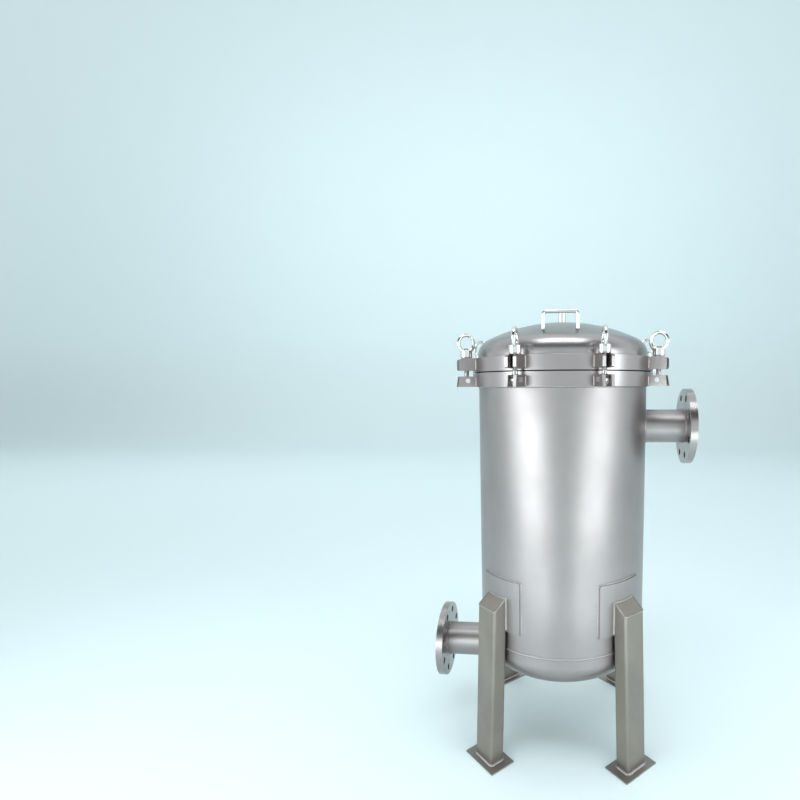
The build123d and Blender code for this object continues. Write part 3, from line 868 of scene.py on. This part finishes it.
@dataclass
class Legs:
    """Four box-section legs, with their pads and foot plates."""

    steel: Steel
    pad_steel: Steel
    plate: Steel
    bead: WeldMetal
    shell_radius: float
    azimuth: float = radians(46.0)
    width: float = 0.068
    depth: float = 0.040
    splay: float = radians(2.2)
    top_outer: float = 0.403
    top_inner: float = 0.434
    top_reach: float = 0.2645
    pad_azimuth: float = radians(48.0)
    pad_width: float = 0.134
    pad_corner: float = 0.005
    edge: float = 0.006  # outside of the bent edges
    pad_thickness: float = 0.006
    pad_bead_width: float = 0.0065
    seam_bead_width: float = 0.006
    cap_bead_width: float = 0.0032
    cap_bead_pitch: float = 0.002
    cap_bead_gap: float = 0.002  # between its ends and the pad
    foot_bead_width: float = 0.0075

    def __post_init__(self) -> None:
        """Reads the heights of the pads and plates off the frame."""
        self.pad_bottom, self.pad_top = (corner[2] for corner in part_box("leg_pads"))
        self.plate_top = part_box("foot_plates")[1][2]
        self.depth_along = self.depth / cos(self.splay)
        self.pad_radius = self.shell_radius + self.pad_thickness

    def reach(self, height: float) -> float:
        """Distance of the outer face from the vessel axis at a height."""
        return self.top_reach + (self.top_outer - height) * tan(self.splay)

    def quarters(self, azimuth: float) -> tuple[float, ...]:
        """An azimuth mirrored to the four quarters."""
        return azimuth, pi - azimuth, pi + azimuth, TURN - azimuth

    def build(self) -> None:
        """Dresses the legs and lays their beads."""
        dress(self.steel, *(f"leg_{number}" for number in LEGS))
        dress(self.pad_steel, "leg_pads")
        dress(self.plate, "foot_plates")
        pads, seams, caps, feet = [], [], [], []
        quarters = zip(self.quarters(self.azimuth), self.quarters(self.pad_azimuth))
        for number, (leg, pad) in enumerate(quarters):
            pads.append(self.pad_bead(pad, 50 + number))
            seams.append(self.seam_bead(leg, 60 + number))
            caps.append(self.cap_bead(leg, 70 + number))
            feet.append(self.foot_bead(leg, 80 + number))
        for name, beads in (("pad", pads), ("leg", seams), ("cap", caps), ("foot", feet)):
            put(f"{name}_beads", joined(beads), self.bead, "vessel")

    def pad_bead(self, azimuth: float, seed: int) -> tuple[Points, np.ndarray]:
        """Bead round a pad: its outline (s, z) lies on the shell at sqrt(R^2 - s^2) outwards.

        Args:
            azimuth: Direction of the pad.
            seed: Seed of the bead.

        Returns:
            Vertices and faces.
        """
        half, corner = 0.5 * self.pad_width, self.pad_corner
        outline = rounded([(-half, self.pad_bottom, corner), (half, self.pad_bottom, corner),
                           (half, self.pad_top, corner), (-half, self.pad_top, corner)], 7)
        loop = resampled(np.column_stack([outline, 0.0 * outline[:, 0]]), 0.004, True)
        side, height = loop[:, 0], loop[:, 1]
        out = np.sqrt(self.shell_radius**2 - side**2)
        path = upright(azimuth, out, side, height)
        return weld_bead(path, unit(path * (1.0, 1.0, 0.0)), self.pad_bead_width, True, seed)

    def cap_height(self, outward: Points) -> Points:
        """Height of the sloping top at a distance out along the leg's azimuth."""
        inner = self.reach(self.top_inner) - self.depth_along
        share = (self.top_reach - outward) / (self.top_reach - inner)
        return self.top_outer + share * (self.top_inner - self.top_outer)

    def seam_bead(self, azimuth: float, seed: int) -> tuple[Points, np.ndarray]:
        """Bead up one side of a leg, over its top and down the other, along the pad.

        Args:
            azimuth: Direction of the leg.
            seed: Seed of the bead.

        Returns:
            Vertices and faces.
        """
        half = 0.5 * self.width
        side = np.concatenate([np.full(12, -half), np.linspace(-half, half, 25)[1:-1], np.full(12, half)])
        out = np.sqrt(self.pad_radius**2 - side**2)
        height = self.cap_height(out)
        rise = np.linspace(self.pad_bottom + 0.002, height[0], 12)
        height[:12], height[-12:] = rise, rise[::-1]
        path = upright(azimuth, out, side, height)
        away = upright(azimuth, 1.0, side / half, np.where(np.abs(side) < half - 1e-6, 1.0, 0.0))
        return weld_bead(path, unit(away), self.seam_bead_width, False, seed)

    def cap_bead(self, azimuth: float, seed: int) -> tuple[Points, np.ndarray]:
        """Thin bead along the outer and the two sloping edges of a leg's top.

        Args:
            azimuth: Direction of the leg.
            seed: Seed of the bead.

        Returns:
            Vertices and faces.
        """
        half = 0.5 * self.width
        inner = sqrt(self.pad_radius**2 - half**2) + self.cap_bead_gap
        outline = rounded([(inner, -half, 0.0), (self.top_reach, -half, self.edge),
                           (self.top_reach, half, self.edge), (inner, half, 0.0)], 6)
        out, side, _ = resampled(np.column_stack([outline, 0.0 * outline[:, 0]]), 0.003, False).T
        path = upright(azimuth, out, side, self.cap_height(out))
        forwards = np.clip((out - inner) / (self.top_reach - inner), 0.2, 1.0)
        away = upright(azimuth, forwards, 0.6 * side / half, 1.0)
        return weld_bead(path, unit(away), self.cap_bead_width, False, seed, self.cap_bead_pitch)

    def foot_bead(self, azimuth: float, seed: int) -> tuple[Points, np.ndarray]:
        """Bead round the foot of a leg on its plate.

        Args:
            azimuth: Direction of the leg.
            seed: Seed of the bead.

        Returns:
            Vertices and faces.
        """
        half, outer = 0.5 * self.width, self.reach(self.plate_top)
        inner = outer - self.depth_along
        loop = rounded([(inner, -half, self.edge), (outer, -half, self.edge),
                        (outer, half, self.edge), (inner, half, self.edge)], 4)
        path = upright(azimuth, loop[:, 0], loop[:, 1], np.full(len(loop), self.plate_top + 0.0003))
        middle = upright(azimuth, 0.5 * (inner + outer), 0.0, self.plate_top)
        path = resampled(path, 0.003, True)
        away = unit(unit((path - middle) * (1.0, 1.0, 0.0)), (0.0, 0.0, 1.0))
        return weld_bead(path, away, self.foot_bead_width, True, seed)


@dataclass
class Internals:
    """Tube sheet, baskets and the cloth of the filter bags."""

    ring: Steel
    sheet: Steel
    felt: Felt
    thickness: float = 0.0022
    slack: float = 0.0016
    bag_foot: float = 0.030  # radius of the rounded foot

    def build(self) -> None:
        """Dresses the steel and hangs a cloth bag in each basket."""
        dress(self.sheet, "tube_sheet")
        dress(self.ring, "bag_rings")
        for number in BAGS:
            low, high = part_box(f"basket_{number}")
            centre = (0.5 * (low[0] + high[0]), 0.5 * (low[1] + high[1]), 0.0)
            dress(PerforatedSteel(f"basket_steel_{number}", "basket_steel", centre=centre),
                  f"basket_{number}")
            self.bag(number)

    def bag(self, number: int) -> None:
        """Hangs one felt bag: a sleeve with a rounded foot that the basket holds open.

        Its outside is r(t) (1 - w), where w sums three waves of angle and height, so the felt
        stands off the basket in soft folds; the inside is the same surface a thickness smaller. The
        cloth is cut as its outline turned about the axis.

        Args:
            number: Which bag.
        """
        low, high = (np.array(corner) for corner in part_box(f"filter_bag_{number}"))
        radius, centre = 0.5 * (high[0] - low[0]), 0.5 * (low + high)
        foot = self.bag_foot
        corner = np.linspace(0.0, 0.5 * pi, 12)
        down = np.linspace(high[2], low[2] + foot, 90)
        profile = np.concatenate([
            np.column_stack([np.full(90, radius), down]),
            np.column_stack([radius - foot + foot * np.cos(corner),
                             low[2] + foot - foot * np.sin(corner)])[1:],
            np.column_stack([np.linspace(radius - foot, 0.001, 16)[1:], np.full(15, low[2])]),
        ])
        angle = np.linspace(0.0, TURN, 160, endpoint=False)[:, None]
        height = profile[None, :, 1]
        phase = 2.1 * number
        wave = (0.45 * np.sin(5.0 * angle + 16.0 * height + phase)
                + 0.35 * np.sin(11.0 * angle - 23.0 * height + 2.0 * phase)
                + 0.20 * np.sin(3.0 * angle + 70.0 * height)) * 0.5 + 0.5
        hang = np.clip((high[2] - height) / 0.03, 0.0, 1.0)
        outer = profile[None, :, 0] - self.slack * wave * hang
        inner = np.maximum(outer - self.thickness, 0.0005)
        lift = self.thickness * np.clip((radius - profile[None, :, 0]) / foot, 0.0, 1.0)
        layers = []
        for distance, rise in ((outer, 0.0 * lift), (inner, lift)):
            layers.append(np.stack([centre[0] + distance * np.cos(angle),
                                    centre[1] + distance * np.sin(angle),
                                    height + rise + 0.0 * angle], axis=2))
        grid = np.concatenate([layers[0][:, ::-1], layers[1]], axis=1)
        piece = put(f"bag_cloth_{number}", sheet_of(grid, Wrap.ROWS), self.felt, "vessel", 60.0)
        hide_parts(f"filter_bag_{number}")


# ---------------------------------------------------------------- studio


@dataclass(frozen=True)
class Softbox:
    """A large soft light: where it stands, what it faces, its size, power and colour."""

    name: str
    stand: tuple[float, float, float]
    aim: tuple[float, float, float]
    size: tuple[float, float]
    power: float
    lean: float = 0.0  # turn about the way it faces, in degrees
    colour: tuple[float, float, float] = (1.0, 1.0, 1.0)

    def build(self) -> None:
        """Makes the light and turns it to its aim."""
        lamp = bpy.data.lights.new(self.name, "AREA")
        lamp.shape = "RECTANGLE"
        lamp.size, lamp.size_y = self.size
        lamp.energy = self.power
        lamp.color = self.colour
        light = bpy.data.objects.new(self.name, lamp)
        bpy.context.scene.collection.objects.link(light)
        light.location = self.stand
        facing = Vector(self.aim) - Vector(self.stand)
        turn = facing.to_track_quat("-Z", "Y") @ Quaternion((0.0, 0.0, 1.0), radians(self.lean))
        light.rotation_euler = turn.to_euler()


@dataclass(frozen=True)
class PlainSurface(Finish):
    """Even pale paint of the floor and the sweep behind it."""

    colour: tuple[float, float, float] = (0.86, 0.94, 0.95)

    def build(self) -> bpy.types.Material:
        """Pale matt paint with a trace of mottling."""
        tree = Tree(self.name)
        cloud = tree.noise(tree.place, 1.5, 2.0)
        tone = tree.mixed(cloud, self.colour, tuple(0.985 * part for part in self.colour))
        return tree.finish(tree.add("ShaderNodeBsdfPrincipled", None, Base_Color=tone, Roughness=0.9))


@dataclass
class Studio:
    """Floor with a sweep, soft lights and the camera."""

    paint: PlainSurface
    seam_height: float
    focal: float = 22.72
    distance: float = 1.39054
    drop: float = 0.03675
    azimuth: float = radians(1.31)
    yaw: float = radians(4.12)
    pitch: float = radians(6.1)
    roll: float = radians(-0.3)
    shift: tuple[float, float] = (-0.1569, 0.0509)
    pale: tuple[float, float, float] = (0.86, 0.97, 1.0)
    sky: tuple[float, float, float, float] = (0.85, 0.97, 1.0, 1.0)
    dark: tuple[float, float, float, float] = (0.08, 0.09, 0.095, 1.0)
    dark_above: tuple[float, float] = (0.26, 0.50)  # upward part of a direction, pale to dark
    dark_ahead: tuple[float, float] = (0.05, -0.35)  # its backward part, pale to dark
    sky_strength: float = 1.15

    def build(self) -> None:
        """Sets up the whole studio."""
        self.sweep()
        self.lights()
        self.camera()

    def sweep(self) -> None:
        """Floor that turns up into a wall behind the object along a quarter circle."""
        bend = np.linspace(0.0, 0.5 * pi, 24)
        radius, back, front, top = 2.0, 6.0, -8.0, 12.0
        along = np.concatenate([[front], back + radius * np.sin(bend), [back + radius]])
        up = np.concatenate([[0.0], radius - radius * np.cos(bend), [top]])
        side = np.array([-16.0, 16.0])
        grid = np.stack([np.broadcast_to(side[:, None], (2, len(along))),
                         np.broadcast_to(along, (2, len(along))), np.broadcast_to(up, (2, len(up)))], axis=2)
        mesh = bpy.data.meshes.new("floor")
        vertices, faces = sheet_of(grid, Wrap.NONE)
        mesh.from_pydata(vertices.tolist(), [], faces.tolist())
        mesh.shade_smooth()
        floor = bpy.data.objects.new("floor", mesh)
        bpy.context.scene.collection.objects.link(floor)
        self.paint.dress(floor)

    def lights(self) -> None:
        """Places the soft lights and a pale surrounding that darkens high up in front.

        The dark part is what the lid and the polished pieces mirror between their highlights.
        """
        middle, pale = (0.0, 0.0, 0.6), self.pale
        for box in (
            Softbox("left_strip", (-1.56, -1.56, 0.75), middle, (1.0, 1.9), 22.0, 48.0, pale),
            Softbox("right_strip", (1.75, -1.35, 0.75), middle, (0.9, 1.9), 20.0, -38.0, pale),
            Softbox("top_box", (0.0, -0.9, 3.0), (0.0, 0.0, 1.0), (1.8, 0.9), 26.0, 0.0, pale),
            Softbox("left_low", (-0.50, -1.32, 0.26), (0.0, 0.0, 0.4), (0.36, 0.6), 1.7, 15.0, pale),
            Softbox("right_low", (0.64, -1.24, 0.26), (0.0, 0.0, 0.4), (0.36, 0.6), 1.8, -15.0, pale),
            Softbox("wash", (-2.0, 2.6, 5.2), (-2.0, 7.6, 1.4), (9.0, 2.0), 130.0, 0.0, pale),
        ):
            box.build()
        world = bpy.data.worlds.new("surrounding")
        world.use_nodes = True
        nodes, links = world.node_tree.nodes, world.node_tree.links
        split = nodes.new("ShaderNodeSeparateXYZ")
        links.new(nodes.new("ShaderNodeTexCoord").outputs["Generated"], split.inputs[0])
        shares = []
        for output, (low, high) in ((2, self.dark_above), (1, self.dark_ahead)):
            ramp = nodes.new("ShaderNodeMapRange")
            ramp.interpolation_type = "SMOOTHSTEP"
            ramp.inputs["From Min"].default_value, ramp.inputs["From Max"].default_value = low, high
            links.new(split.outputs[output], ramp.inputs["Value"])
            shares.append(ramp.outputs[0])
        both = nodes.new("ShaderNodeMath")
        both.operation = "MULTIPLY"
        mix = nodes.new("ShaderNodeMix")
        mix.data_type = "RGBA"
        mix.inputs[6].default_value = self.sky
        mix.inputs[7].default_value = self.dark
        for number, share in enumerate(shares):
            links.new(share, both.inputs[number])
        links.new(both.outputs[0], mix.inputs[0])
        links.new(mix.outputs[2], nodes["Background"].inputs["Color"])
        nodes["Background"].inputs["Strength"].default_value = self.sky_strength
        bpy.context.scene.world = world
        bpy.context.scene.view_settings.view_transform = "Standard"

    def camera(self) -> None:
        """Stands the camera in front, a little below the seam, looking down at the vessel.

        The view direction starts level, towards the axis and turned by the yaw, then dips by the
        pitch; the roll turns its right and up directions about it.
        """
        heading = self.azimuth + self.yaw
        level = Vector((-sin(heading), cos(heading), 0.0))
        right = Vector((cos(heading), sin(heading), 0.0))
        forward = level * cos(self.pitch) + Vector((0.0, 0.0, -sin(self.pitch)))
        over = right.cross(forward)
        turned_right = right * cos(self.roll) + over * sin(self.roll)
        turned_over = over * cos(self.roll) - right * sin(self.roll)
        lens = bpy.data.cameras.new("camera")
        lens.sensor_width, lens.lens = 36.0, self.focal
        lens.shift_x, lens.shift_y = self.shift
        lens.clip_start = 0.05
        camera = bpy.data.objects.new("camera", lens)
        bpy.context.scene.collection.objects.link(camera)
        turn = Matrix((turned_right, turned_over, -forward)).transposed().to_4x4()
        place = Matrix.Translation((self.distance * sin(self.azimuth), -self.distance * cos(self.azimuth),
                                    self.seam_height - self.drop))
        camera.matrix_world = place @ turn
        bpy.context.scene.camera = camera


def main() -> None:
    """Builds the housing's looks sub-assembly by sub-assembly, then the studio."""
    logging.basicConfig(level=logging.INFO, format="%(message)s")
    bead = WeldMetal("weld_metal", "weld_steel")
    satin = Steel("satin_shell", "satin_steel", rough=0.40, spread=0.03, grain=Grain.BLASTED, marks=0.06)
    dome = Steel("satin_dome", "satin_steel", rough=0.30, spread=0.03, grain=Grain.BLASTED, marks=0.05)
    ring = Steel("turned_ring", "turned_steel", rough=0.30, spread=0.03, grain=Grain.AROUND, marks=0.08)
    polished = Steel("polished_steel", "polished_steel", (0.26, 0.235, 0.24), (0.20, 0.18, 0.185), 0.16, 0.03,
                     Grain.POLISHED, 0.03)
    pickled = Steel("pickled_leg", "leg_steel", (0.35, 0.305, 0.26), (0.29, 0.25, 0.22), 0.42, 0.05,
                    Grain.BLASTED, 0.12, 9.0)
    plate = Steel("matt_plate", "leg_steel", (0.38, 0.34, 0.325), (0.31, 0.28, 0.265), 0.46, 0.05,
                  Grain.BLASTED, 0.15, 12.0)
    ear = Steel("cut_plate", "ear_steel", (0.40, 0.355, 0.345), (0.33, 0.29, 0.28), 0.30, 0.05,
                Grain.UPRIGHT, 0.10, 20.0)
    washer = Steel("washer_steel", "bolt_steel", rough=0.22, grain=Grain.BLASTED)
    basket_ring = Steel("bag_ring_steel", "basket_steel", rough=0.25, grain=Grain.AROUND)

    vessel = Vessel(satin, ring, bead, Rubber("seal_rubber", "seal_rubber"))
    vessel.build()
    Lid(dome, ring, polished, bead).build()
    pin = next(joint["pos_m"] for joint in frame["record"]["behaviour"]["joints"]
               if joint["name"] == "bolt_swing_1")
    Closure(ear, polished, polished, washer, bead, float(np.hypot(*pin[:2]))).build()
    Connections(vessel, satin, bead).build()
    Legs(pickled, satin, plate, bead, vessel.radius).build()
    Internals(basket_ring, ring, Felt("needle_felt", "bag_felt")).build()
    dress(polished, "drain_plug")
    seam = 0.5 * (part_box("body_flange")[1][2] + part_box("lid_flange")[0][2])
    Studio(PlainSurface("studio_paint", ""), seam).build()


if __name__ == "__main__":
    main()
